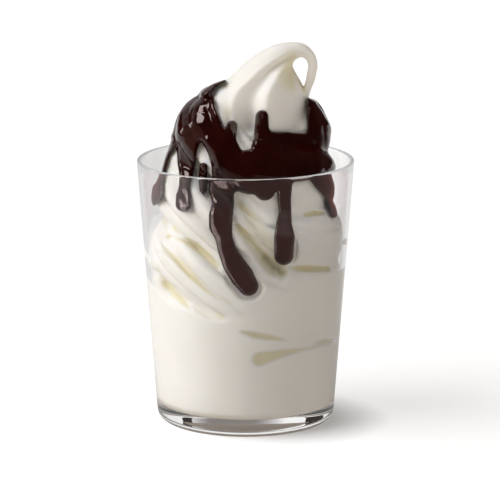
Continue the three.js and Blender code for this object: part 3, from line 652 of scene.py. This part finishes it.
def slope_at(field, points, reach=0.05):
    slope = np.empty_like(points)
    for axis in range(3):
        offset = np.zeros(3)
        offset[axis] = reach
        slope[:, axis] = (sample(field, points + offset) - sample(field, points - offset)) / (2 * reach)
    return slope


def near_blocks(field, low, high, size):
    """Whole-number places of the blocks near the surface."""
    counts = np.ceil((high - low) / size).astype(int)
    blocks = np.indices(counts).reshape(3, -1).T
    distance = sample(field, low + (blocks + 0.5) * size)
    return blocks[np.abs(distance) < size * BLOCK_REACH]


def surface_cells(field, low, step, blocks):
    """The cells that the surface crosses: their places, one point in each, and their corner values."""
    side = np.arange(BLOCK + 1)
    corners = np.stack(np.meshgrid(side, side, side, indexing="ij"), -1).reshape(-1, 3)
    places = (blocks[:, None, :] * BLOCK + corners).reshape(-1, 3)
    values = sample(field, low + places * step).reshape((-1,) + (BLOCK + 1,) * 3)
    shifts = [(a, b, c) for a in (0, 1) for b in (0, 1) for c in (0, 1)]
    stacked = np.stack([values[:, a:a + BLOCK, b:b + BLOCK, c:c + BLOCK] for a, b, c in shifts], -1)
    inside = (stacked < 0).sum(-1)
    found = np.argwhere((inside > 0) & (inside < 8))
    at_corner = stacked[tuple(found.T)]
    cells = blocks[found[:, 0]] * BLOCK + found[:, 1:]
    total = np.zeros((len(cells), 3))
    crossings = np.zeros(len(cells))
    for first, start in enumerate(shifts):
        for axis in range(3):
            if start[axis]:
                continue
            second = first + CORNER_STRIDES[axis]
            one, two = at_corner[:, first], at_corner[:, second]
            crossed = (one < 0) != (two < 0)
            share = np.where(crossed, one / np.where(crossed, one - two, 1), 0)
            point = np.array(start, float) + share[:, None] * np.eye(3)[axis]
            total += point * crossed[:, None]
            crossings += crossed
    return cells, low + (cells + total / crossings[:, None]) * step, at_corner


def surface_quads(cells, at_corner):
    """One quad round each grid edge that the surface crosses."""
    stride = cells.max(0) + 3
    keys = ((cells[:, 0] + 1) * stride[1] + cells[:, 1] + 1) * stride[2] + cells[:, 2] + 1
    order = np.argsort(keys)
    step_key = np.array([stride[1] * stride[2], stride[2], 1])
    quads = []
    for axis in range(3):
        first, second = at_corner[:, 0], at_corner[:, CORNER_STRIDES[axis]]
        crossed = (first < 0) != (second < 0)
        b, c = step_key[(axis + 1) % 3], step_key[(axis + 2) % 3]
        own = keys[crossed]
        around = np.stack([own - b - c, own - c, own, own - b], 1)
        place = np.clip(np.searchsorted(keys[order], around), 0, len(keys) - 1)
        whole = (keys[order][place] == around).all(1)
        quad = order[place]
        outward = first[crossed] < 0
        quad = np.where(outward[:, None], quad, quad[:, ::-1])
        quads.append(quad[whole])
    return np.concatenate(quads)


def smoothed(points, quads):
    """Moves points towards the middle of their neighbours."""
    ends = np.concatenate([quads[:, [0, 1]], quads[:, [1, 2]], quads[:, [2, 3]], quads[:, [3, 0]]])
    ends = np.concatenate([ends, ends[:, ::-1]])
    count = np.maximum(np.bincount(ends[:, 0], minlength=len(points)), 1)
    for _ in range(SMOOTHING_ROUNDS):
        sums = [np.bincount(ends[:, 0], points[ends[:, 1], axis], len(points)) for axis in range(3)]
        middle = np.stack(sums, 1) / count[:, None]
        points = points + (middle - points) * SMOOTHING
    return points


def settled(field, points, step, rounds=2):
    """Moves points onto the field's surface, by half a step at most in each round."""
    for _ in range(rounds):
        slope = slope_at(field, points)
        steepness = np.maximum((slope ** 2).sum(1), LEAST_SLOPE)
        move = slope * (sample(field, points) / steepness)[:, None]
        length = np.linalg.norm(move, axis=1, keepdims=True)
        points = points - move * np.minimum(1, step * 0.5 / np.maximum(length, 1e-9))
    return points


def largest_part(points, quads):
    """The points and quads of the part with the most points."""
    label = np.arange(len(points))
    while True:
        lowest = label[quads].min(1)
        new = label.copy()
        np.minimum.at(new, quads.ravel(), np.repeat(lowest, 4))
        new = new[new]
        if (new == label).all():
            break
        label = new
    names, counts = np.unique(label[quads[:, 0]], return_counts=True)
    kept = label == names[counts.argmax()]
    number = np.cumsum(kept) - 1
    return points[kept], number[quads[kept[quads[:, 0]]]]


def field_mesh(field, box, room, step):
    """The surface of a field, within a CAD node's box and some room round it."""
    low, high = (np.array(corner) / MM for corner in box)
    low, high = low - room, high + room
    blocks = near_blocks(field, low, high, step * BLOCK)
    cells, points, at_corner = surface_cells(field, low, step, blocks)
    quads = surface_quads(cells, at_corner)
    points, quads = largest_part(points, quads)
    return settled(field, smoothed(points, quads), step), quads


def new_object(name, data):
    made = bpy.data.objects.new(name, data)
    bpy.context.collection.objects.link(made)
    return made


def mesh_object(name, points, faces, material):
    """A smooth mesh object from points in mm."""
    mesh = bpy.data.meshes.new(name)
    mesh.from_pydata((points * MM).tolist(), [], faces)
    mesh.shade_smooth()
    mesh.materials.append(material)
    return new_object(name, mesh)


def add_attribute(piece, name, values):
    attribute = piece.data.attributes.new(name, "FLOAT", "POINT")
    attribute.data.foreach_set("value", np.asarray(values, np.float32))


def hollowness(field, points, reach):
    """How far other surfaces close in over each point: 0 in the open, 1 deep in a crease."""
    slope = slope_at(field, points)
    normal = slope / np.maximum(np.linalg.norm(slope, axis=1, keepdims=True), 1e-9)
    return np.clip(1 - sample(field, points + normal * reach) / reach, 0, 1)


# ---- Materials
def new_material(name):
    material = bpy.data.materials.new(name)
    material.use_nodes = True
    material.node_tree.nodes.clear()
    return material, material.node_tree


def add_node(tree, kind, inputs, **settings):
    """A new shader node. Each input, by its name or number, gets a value or comes from another socket."""
    made = tree.nodes.new("ShaderNode" + kind)
    for key, value in settings.items():
        setattr(made, key, value)
    for key, value in inputs.items():
        socket = made.inputs[key]
        if isinstance(value, bpy.types.NodeSocket):
            tree.links.new(value, socket)
        elif socket.type == "RGBA":
            socket.default_value = (*value, 1)
        else:
            socket.default_value = value
    return made.outputs


def finished(material, surface):
    add_node(material.node_tree, "OutputMaterial", {"Surface": surface})
    return material


def calculated(tree, operation, *values):
    return add_node(tree, "Math", dict(enumerate(values)), operation=operation)["Value"]


def coordinates(tree, kind="Object"):
    return add_node(tree, "TexCoord", {})[kind]


def light_path(tree):
    return add_node(tree, "LightPath", {})


def axes_of(tree, vector):
    return add_node(tree, "SeparateXYZ", {"Vector": vector})


def reach_towards(tree, vector, direction):
    """How far a vector reaches in a direction."""
    return add_node(tree, "VectorMath", {0: vector, 1: direction}, operation="DOT_PRODUCT")["Value"]


def noise(tree, size_mm, detail=2.0):
    """Noise about size_mm across, fixed to the object."""
    inputs = {"Vector": coordinates(tree), "Scale": 1 / (size_mm * MM), "Detail": detail}
    return add_node(tree, "TexNoise", inputs)["Fac"]


def mapped(tree, value, to_low, to_high, from_low=0.3, from_high=0.7):
    """A value carried over from one range to another."""
    ends = {"From Min": from_low, "From Max": from_high, "To Min": to_low, "To Max": to_high}
    return add_node(tree, "MapRange", {"Value": value, **ends})["Result"]


def blended(tree, factor, first, second):
    """A colour between two colours."""
    inputs = {"Factor": factor, "A": first, "B": second}
    return add_node(tree, "Mix", inputs, data_type="RGBA")["Result"]


def mottled(tree, size_mm, first, second):
    return blended(tree, mapped(tree, noise(tree, size_mm), 0, 1), first, second)


def bumped(tree, height, distance_mm, strength):
    inputs = {"Height": height, "Distance": distance_mm * MM, "Strength": strength}
    return add_node(tree, "Bump", inputs)["Normal"]


def read_attribute(tree, name):
    return add_node(tree, "Attribute", {}, attribute_name=name)["Fac"]


def within_turn(tree, axes, start, end):
    """1 where a place lies between two turns about the axis, in degrees."""
    turn = calculated(tree, "ARCTAN2", axes["Y"], axes["X"])
    return calculated(tree, "COMPARE", turn, math.radians(start + end) / 2, math.radians(end - start) / 2)


def coloured(tree, kind, colour):
    """A shader of one kind in one colour."""
    return add_node(tree, kind, {"Color": colour})[0]


def principled(tree, **inputs):
    """A Principled shader. A space in the name of an input is written as an underscore."""
    named = {key.replace("_", " "): value for key, value in inputs.items()}
    return add_node(tree, "BsdfPrincipled", named)["BSDF"]


def mixed(tree, factor, first, second):
    """A shader between two shaders."""
    return add_node(tree, "MixShader", {"Fac": factor, 1: first, 2: second})["Shader"]


def deeper(tree, depth, otherwise, shader):
    """One shader for rays with that depth, and another for the rest."""
    return mixed(tree, calculated(tree, "GREATER_THAN", depth, 0.5), otherwise, shader)


def in_glass(tree, rays, outside, inside):
    """One colour for rays that have crossed glass, and another for the rest."""
    return blended(tree, mapped(tree, rays["Transmission Depth"], 0, 1, 0, 1), outside, inside)


def behind_glass(tree, rays, axes, nearer):
    """The room as what is behind the glass reflects it, and another colour for nearer rays."""
    room = blended(tree, within_turn(tree, axes, GLINT_FROM, GLINT_TO), THROUGH_GLASS, GLINT_TONE)
    return blended(tree, mapped(tree, rays["Transmission Depth"], 0, 1, 2, 3), nearer, room)


def in_metres(lengths):
    return [length * MM for length in lengths]


def soft_serve_material():
    material, tree = new_material("soft_serve")
    # painted shade: a creamy tint from the crease attribute, in hollows, creases and beside the curl's hole
    with_painted_shade = blended(tree, read_attribute(tree, "crease"), mottled(tree, 14, *SOFT_SERVE_TONES), PAINTED_CREASE_SHADE)
    # painted shade: darker where the soft serve lies on the glass bottom
    above_bottom = mapped(tree, axes_of(tree, coordinates(tree))["Z"], 0, 1, *in_metres(UNDERSIDE_ENDS))
    surface = principled(
        tree,
        Base_Color=blended(tree, above_bottom, UNDERSIDE_PAINTED_SHADE, with_painted_shade),
        Roughness=mapped(tree, noise(tree, 5, 3), 0.42, 0.55),
        IOR=1.36,
        Subsurface_Weight=0.3,
        Subsurface_Radius=(1.0, 0.85, 0.55),
        Subsurface_Scale=3 * MM,
        Normal=bumped(tree, noise(tree, 7, 1), 0.22, 0.3),
    )
    return finished(material, surface)


def sauce_material():
    material, tree = new_material("dark_sauce")
    thin = read_attribute(tree, "thin")
    surface = principled(
        tree,
        Base_Color=blended(tree, thin, mottled(tree, 9, *SAUCE_TONES), THIN_SAUCE_TONE),
        Roughness=mapped(tree, noise(tree, 7, 2), 0.06, 0.12),
        IOR=1.47,
        Specular_Tint=(1.0, 0.86, 0.83),
        Normal=bumped(tree, noise(tree, 5, 1), 0.3, 0.3),
    )
    return finished(material, surface)


def glass_material():
    """Clear glass, with painted shade on its back left, a glow for the light that goes round in its wall, and
    a pale shadow.
    """
    material, tree = new_material("clear_glass")
    place = coordinates(tree)
    # painted shade: greyer towards the back left
    painted_shade = mapped(tree, reach_towards(tree, place, LEFT_BACK), 0, 1, *in_metres(PAINTED_SHADE_BETWEEN))
    clear = principled(
        tree,
        Base_Color=blended(tree, painted_shade, mottled(tree, 30, *GLASS_TONES), GLASS_PAINTED_SHADE),
        Roughness=mapped(tree, noise(tree, 12, 4), 0.0, 0.02),
        Transmission_Weight=1.0,
        IOR=1.5,
        Normal=bumped(tree, noise(tree, 16, 0), 0.05, 0.4),
    )
    height = axes_of(tree, place)["Z"]
    level = mapped(tree, height, TRAPPED_AT_BASE, TRAPPED_AT_RIM, *in_metres(TRAPPED_BETWEEN))
    trapped = add_node(tree, "Emission", {"Strength": level})["Emission"]
    rays = light_path(tree)
    seen = mixed(tree, mapped(tree, rays["Glossy Depth"], 0, 1, 2, 3), clear, trapped)
    shadow = coloured(tree, "BsdfTransparent", SHADOW_PASSED)
    surface = mixed(tree, rays["Is Shadow Ray"], seen, shadow)
    return finished(material, surface)


def floor_material():
    """A white floor that glows, less round the tumbler's foot as a painted shadow, and is dark towards the
    eye in reflections, as a table that ends there would be.
    """
    material, tree = new_material("pale_floor")
    place = coordinates(tree)
    inputs = {0: place, 1: in_metres(FLOOR_SHADOW_CENTRE)}
    distance = add_node(tree, "VectorMath", inputs, operation="DISTANCE")["Value"]
    lit = principled(
        tree,
        Base_Color=mottled(tree, 200, *FLOOR_TONES),
        Roughness=0.9,
        Specular_IOR_Level=0.0,
        Emission_Color=(1, 1, 1),
        # painted shadow: the glow is weaker near the tumbler's foot
        Emission_Strength=mapped(tree, distance, *FLOOR_GLOW, *in_metres(FLOOR_SHADOW_RADII)),
    )
    rays = light_path(tree)
    behind = mapped(tree, reach_towards(tree, place, LEFT_BACK), 0, 1, *in_metres(FLOOR_BACK_EDGE))
    front = in_glass(tree, rays, FLOOR_FRONT_REFLECTED, FRONT_IN_GLASS)
    shown = behind_glass(tree, rays, axes_of(tree, place), blended(tree, behind, front, FLOOR_BACK_REFLECTED))
    surface = deeper(tree, rays["Glossy Depth"], lit, coloured(tree, "Emission", shown))
    bounced = coloured(tree, "Emission", FLOOR_BOUNCE)
    surface = deeper(tree, rays["Diffuse Depth"], surface, bounced)
    return finished(material, surface)


# ---- Pieces
def arc(x, z, radius, from_degrees, to_degrees):
    angles = np.radians(np.linspace(from_degrees, to_degrees, ARC_STEPS + 1))
    return [(x + radius * math.cos(angle), z + radius * math.sin(angle)) for angle in angles]


def straight(start, end, steps):
    """Points between two points, without the two."""
    across = np.linspace(start[0], end[0], steps + 1)
    up = np.linspace(start[1], end[1], steps + 1)
    return list(zip(across, up))[1:-1]


def tumbler_profile():
    heel_centre = outer_wall(HEEL_RADIUS) - HEEL_RADIUS
    corner_level = FLOOR + CORNER_RADIUS
    lip_level = GLASS_HEIGHT - LIP
    shares = np.linspace(0.1, 1, BOTTOM_STEPS)
    punt = [(PUNT_RADIUS * share, PUNT_DEPTH * (1 - share ** 2)) for share in shares]
    heel = arc(heel_centre, HEEL_RADIUS, HEEL_RADIUS, -90, 0)
    lip = arc(outer_wall(lip_level) - LIP, lip_level, LIP, 0, 180)
    corner = arc(float(inner_wall(corner_level)) - CORNER_RADIUS, corner_level, CORNER_RADIUS, 0, -90)
    outside = straight(heel[-1], lip[0], WALL_STEPS)
    inside = straight(lip[-1], corner[0], WALL_STEPS)
    bottom = straight(corner[-1], (0, FLOOR), BOTTOM_STEPS)
    return punt + heel + outside + lip + inside + corner + bottom


def turned_solid(profile, low_centre, high_centre, sides):
    """Points and faces of a profile turned round the axis, closed by a point at each end."""
    angles = np.linspace(0, TAU, sides, endpoint=False)
    rings = [(radius * np.cos(angles), radius * np.sin(angles), np.full(sides, z)) for radius, z in profile]
    points = np.concatenate([np.stack(ring, 1) for ring in rings])
    points = np.concatenate([points, [(0, 0, low_centre), (0, 0, high_centre)]])
    low, high = len(points) - 2, len(points) - 1
    last = (len(profile) - 1) * sides
    faces = []
    for side in range(sides):
        after = (side + 1) % sides
        faces.append((low, after, side))
        faces.append((high, last + side, last + after))
        for ring in range(len(profile) - 1):
            start, end = ring * sides, (ring + 1) * sides
            faces.append((start + side, start + after, end + after, end + side))
    return points, faces


def make_tumbler():
    points, faces = turned_solid(tumbler_profile(), PUNT_DEPTH, FLOOR, GLASS_SIDES)
    piece = mesh_object("glass_tumbler", points, faces, glass_material())
    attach(piece, "root")
    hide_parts("glass")


def painted_hollow_shade(points):
    """How much painted shade each point gets, as a creamy tint: more in hollows and creases, and beside the
    curl's hole.
    """
    across, height = points[:, 0], points[:, 2]
    in_hollow = ramp(hollowness(ice_body, points, HOLLOW_REACH), *HOLLOW_SHADED)
    clear_of_glass = 1 - ramp(cavity(*points.T), *TOUCHING_GLASS)
    beside_drips = ramp(gap_under_sauce(*points.T), *GAP_UNSHADED)
    paler = 1 - PALER_SHARE * ramp(height, *PALER_ABOVE)
    in_hollow = in_hollow * clear_of_glass * paler * (1 - beside_drips)
    on_left = 1 - ramp(across, *MIDDLE)
    in_crease = ramp(creases(*points.T), *CARVED_SHADED) * (CARVED_ON_RIGHT + (1 - CARVED_ON_RIGHT) * on_left)
    from_hole = np.hypot(across - HOLE_X, height - HOLE_Z)
    by_hole = HOLE_SHADE * (1 - ramp(from_hole, *HOLE_SHADE_ENDS)) * ramp(HOLE_X - across, *HOLE_SHADE_LEFT)
    return np.maximum(np.maximum(in_hollow, in_crease), by_hole)


def make_swirl():
    points, quads = field_mesh(ice_cream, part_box("ice_cream"), 3 * ICE_STEP, ICE_STEP)
    piece = mesh_object("soft_serve_swirl", points, quads.tolist(), soft_serve_material())
    # the crease attribute holds the painted shade of hollows and creases
    add_attribute(piece, "crease", painted_hollow_shade(points))
    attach(piece, "root")
    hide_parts("ice_cream")


def make_sauce():
    room = 4 * SAUCE_STEP + SAUCE_ROOM
    points, quads = field_mesh(sauce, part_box("chocolate_sauce"), room, SAUCE_STEP)
    piece = mesh_object("poured_sauce", points, quads.tolist(), sauce_material())
    add_attribute(piece, "thin", 1 - ramp(sample(ice_body, points), *THIN_SAUCE))
    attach(piece, "root")
    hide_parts("chocolate_sauce")


# ---- Stage, light and camera
def make_floor():
    angles = np.linspace(0, TAU, FLOOR_SIDES, endpoint=False)
    level = np.full(FLOOR_SIDES, FLOOR_LEVEL)
    points = np.stack([FLOOR_RADIUS * np.cos(angles), FLOOR_RADIUS * np.sin(angles), level], 1)
    floor = mesh_object("floor", points, [list(range(FLOOR_SIDES))], floor_material())


def sun_light(name, direction_from, strength, spread_degrees):
    """Light for matt surfaces alone, with soft shadows."""
    data = bpy.data.lights.new(name, "SUN")
    data.energy = strength
    data.angle = math.radians(spread_degrees)
    lamp = new_object(name, data)
    lamp.rotation_euler = Vector(direction_from).to_track_quat("Z", "Y").to_euler()
    lamp.visible_glossy = False


def softbox(name, place, aim, size, brightness, colour):
    """A rectangular lamp that shows in reflections alone."""
    data = bpy.data.lights.new(name, "AREA")
    data.shape = "RECTANGLE"
    data.size, data.size_y = in_metres(size)
    data.energy = brightness * math.pi * data.size * data.size_y
    data.color = colour
    lamp = new_object(name, data)
    lamp.location = in_metres(place)
    towards = Vector(aim) - Vector(place)
    lamp.rotation_euler = towards.to_track_quat("-Z", "Y").to_euler()
    lamp.visible_diffuse = False
    lamp.visible_camera = False
    lamp.visible_transmission = False


def room_reflected(tree, rays):
    """The colour of the room in each direction, as reflections show it."""
    direction = coordinates(tree, "Generated")
    axes = axes_of(tree, direction)
    on_backdrop = mapped(tree, reach_towards(tree, direction, BACKDROP_AT), 0, 1, *BACKDROP_EDGE)
    in_gap = mapped(tree, reach_towards(tree, direction, GAP_AT), 0, 1, *GAP_EDGE)
    at_back = mapped(tree, axes["Y"], 0, 1, *BACK_EDGE)
    outside = blended(tree, on_backdrop, FRONT_REFLECTED, BACK_REFLECTED)
    inside = blended(tree, at_back, FRONT_IN_GLASS, blended(tree, in_gap, BACK_IN_GLASS, GAP_IN_GLASS))
    colour = in_glass(tree, rays, outside, inside)
    low_enough = mapped(tree, axes["Z"], 1, 0, *CARD_TOP)
    for start, end in CARDS:
        on_card = calculated(tree, "MULTIPLY", within_turn(tree, axes, start, end), low_enough)
        colour = blended(tree, on_card, colour, CARD_TONE)
    return behind_glass(tree, rays, axes, colour)


def make_world():
    """White where it is seen, also through the glass, and dim where it lights or is reflected."""
    world = bpy.data.worlds.new("studio")
    bpy.context.scene.world = world
    world.use_nodes = True
    tree = world.node_tree
    tree.nodes.clear()
    rays = light_path(tree)
    seen = coloured(tree, "Background", WORLD_SEEN)
    reflected = coloured(tree, "Background", room_reflected(tree, rays))
    bounced = coloured(tree, "Background", WORLD_BOUNCED)
    surface = deeper(tree, rays["Glossy Depth"], seen, reflected)
    surface = deeper(tree, rays["Diffuse Depth"], surface, bounced)
    add_node(tree, "OutputWorld", {"Surface": surface})


def make_camera():
    data = bpy.data.cameras.new("camera")
    data.sensor_width = SENSOR_WIDTH
    data.lens = LENS
    camera = new_object("camera", data)
    camera.location = in_metres(EYE)
    camera.rotation_euler = (math.pi / 2 - EYE_PITCH, 0, 0)
    bpy.context.scene.camera = camera


make_tumbler()
make_swirl()
make_sauce()
make_floor()
make_world()
for sun in SUNS:
    sun_light(*sun)
for lamp in SOFTBOXES:
    softbox(*lamp)
make_camera()
bpy.context.scene.view_settings.view_transform = "Standard"
